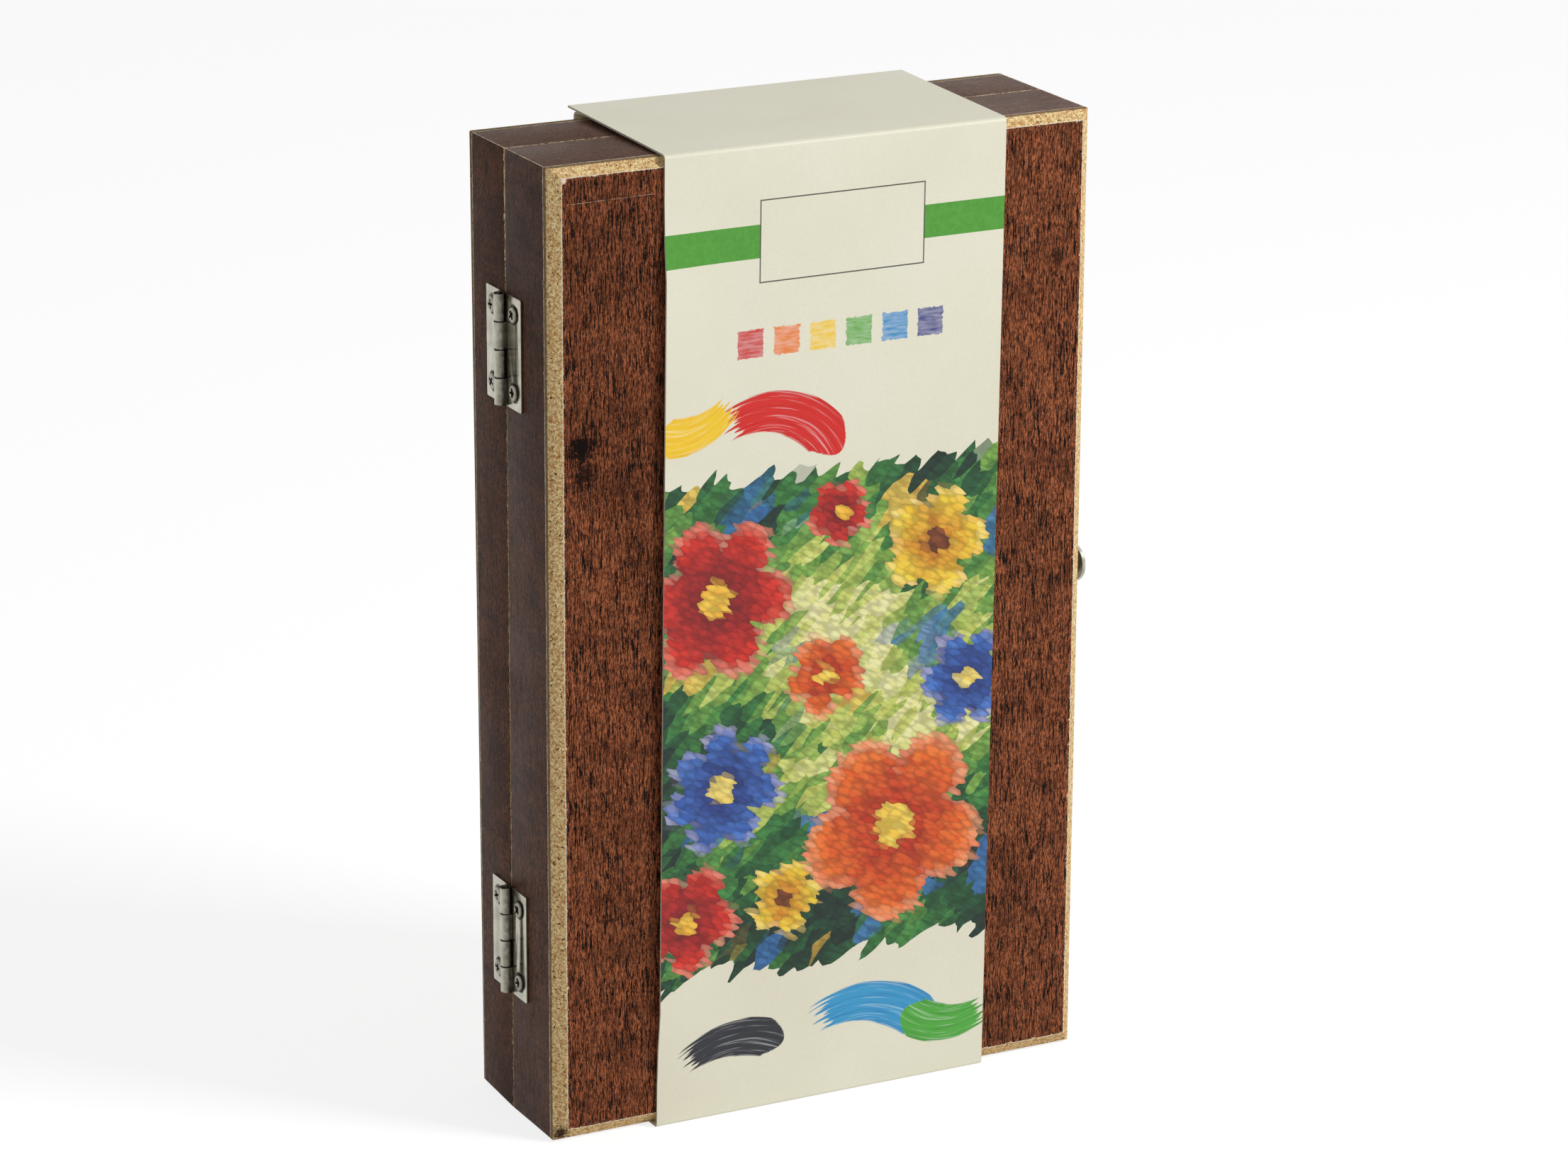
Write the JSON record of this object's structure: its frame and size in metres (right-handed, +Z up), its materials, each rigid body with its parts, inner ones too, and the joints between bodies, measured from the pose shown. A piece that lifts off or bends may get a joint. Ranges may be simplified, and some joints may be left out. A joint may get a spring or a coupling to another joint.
{
  "type": "wooden paint box",
  "caption": "Hinged two-part wooden box of acrylic paints, brushes, palette and pencil, standing on end in a card belly band.",
  "frame": {"origin": "on the surface the box stands on, midway across its width, at the seam between its two halves", "axes": "+X from the hinge side to the latch side, +Y from the thick front half to the thin rear half, +Z up the long side"},
  "size_m": [0.1395, 0.0479, 0.2222],
  "materials": {
    "printed_board": "MDF covered with dark wood-grain print, satin",
    "printed_panel": "MDF with red-brown wood-grain print, raw tan bevelled edge",
    "backing_print": "card with wood-grain print, matt",
    "clear_tray": "clear formed plastic sheet",
    "nickel": "nickel-plated pressed steel",
    "tube_laminate": "soft plastic tube with a printed cream label and a colour band",
    "cap_plastic": "white moulded plastic",
    "palette_plastic": "white moulded plastic",
    "eraser_vinyl": "white vinyl",
    "eraser_card": "dark printed card",
    "band_card": "cream coated card with a printed design",
    "sharpener_metal": "cast magnesium or aluminium, lightly tumbled",
    "blade_steel": "ground steel",
    "black_lacquer": "wood with glossy black lacquer",
    "graphite": "graphite",
    "ferrule_metal": "bright drawn aluminium tube",
    "brush_hair": "amber synthetic hair"
  },
  "bodies": {
    "base": {"base_backing_card": "backing_print", "base_board_bottom": "printed_board", "base_board_left": "printed_board", "base_board_right": "printed_board", "base_board_top": "printed_board", "base_hinge_screws": "nickel", "base_panel": "printed_panel", "base_tray": "clear_tray", "lower_hinge_base_leaf": "nickel", "lower_hinge_pin": "nickel", "paint_tube_01": "tube_laminate", "paint_tube_02": "tube_laminate", "paint_tube_03": "tube_laminate", "paint_tube_04": "tube_laminate", "paint_tube_05": "tube_laminate", "paint_tube_06": "tube_laminate", "paint_tube_07": "tube_laminate", "paint_tube_08": "tube_laminate", "paint_tube_09": "tube_laminate", "paint_tube_10": "tube_laminate", "paint_tube_11": "tube_laminate", "paint_tube_12": "tube_laminate", "strike_plate": "nickel", "strike_screws": "nickel", "tube_caps": "cap_plastic", "upper_hinge_base_leaf": "nickel", "upper_hinge_pin": "nickel"},
    "lid": {"brush_ferrule_filbert": "ferrule_metal", "brush_ferrule_flat": "ferrule_metal", "brush_ferrule_round": "ferrule_metal", "brush_handle_filbert": "black_lacquer", "brush_handle_flat": "black_lacquer", "brush_handle_round": "black_lacquer", "brush_tuft_filbert": "brush_hair", "brush_tuft_flat": "brush_hair", "brush_tuft_round": "brush_hair", "eraser": "eraser_vinyl", "eraser_sleeve": "eraser_card", "latch_pin": "nickel", "latch_plate": "nickel", "latch_plate_screws": "nickel", "lid_backing_card": "backing_print", "lid_board_bottom": "printed_board", "lid_board_left": "printed_board", "lid_board_right": "printed_board", "lid_board_top": "printed_board", "lid_hinge_screws": "nickel", "lid_panel": "printed_panel", "lid_tray": "clear_tray", "lower_hinge_lid_leaf": "nickel", "palette": "palette_plastic", "pencil_case": "black_lacquer", "pencil_lead": "graphite", "sharpener_blade": "blade_steel", "sharpener_body": "sharpener_metal", "sharpener_screw": "blade_steel", "upper_hinge_lid_leaf": "nickel"},
    "latch_tongue": {"latch_tongue": "nickel"},
    "belly_band": {"belly_band": "band_card"}
  },
  "joints": [
    {"name": "lid_hinge", "type": "hinge", "parent": "base", "child": "lid", "pos_m": [-0.067, 0, 0.11045], "axis": [0, 0, 1], "range_deg": [0, 180], "deforming": ["belly_band"]},
    {"name": "latch_swing", "type": "hinge", "parent": "lid", "child": "latch_tongue", "pos_m": [0.0679, 0.0026, 0.1127], "axis": [0, 0, 1], "range_deg": [0, 165]},
    {"name": "band_slide", "type": "slide", "parent": "base", "child": "belly_band", "axis": [1, 0, 0], "range_m": [0, 0.116]}
  ]
}
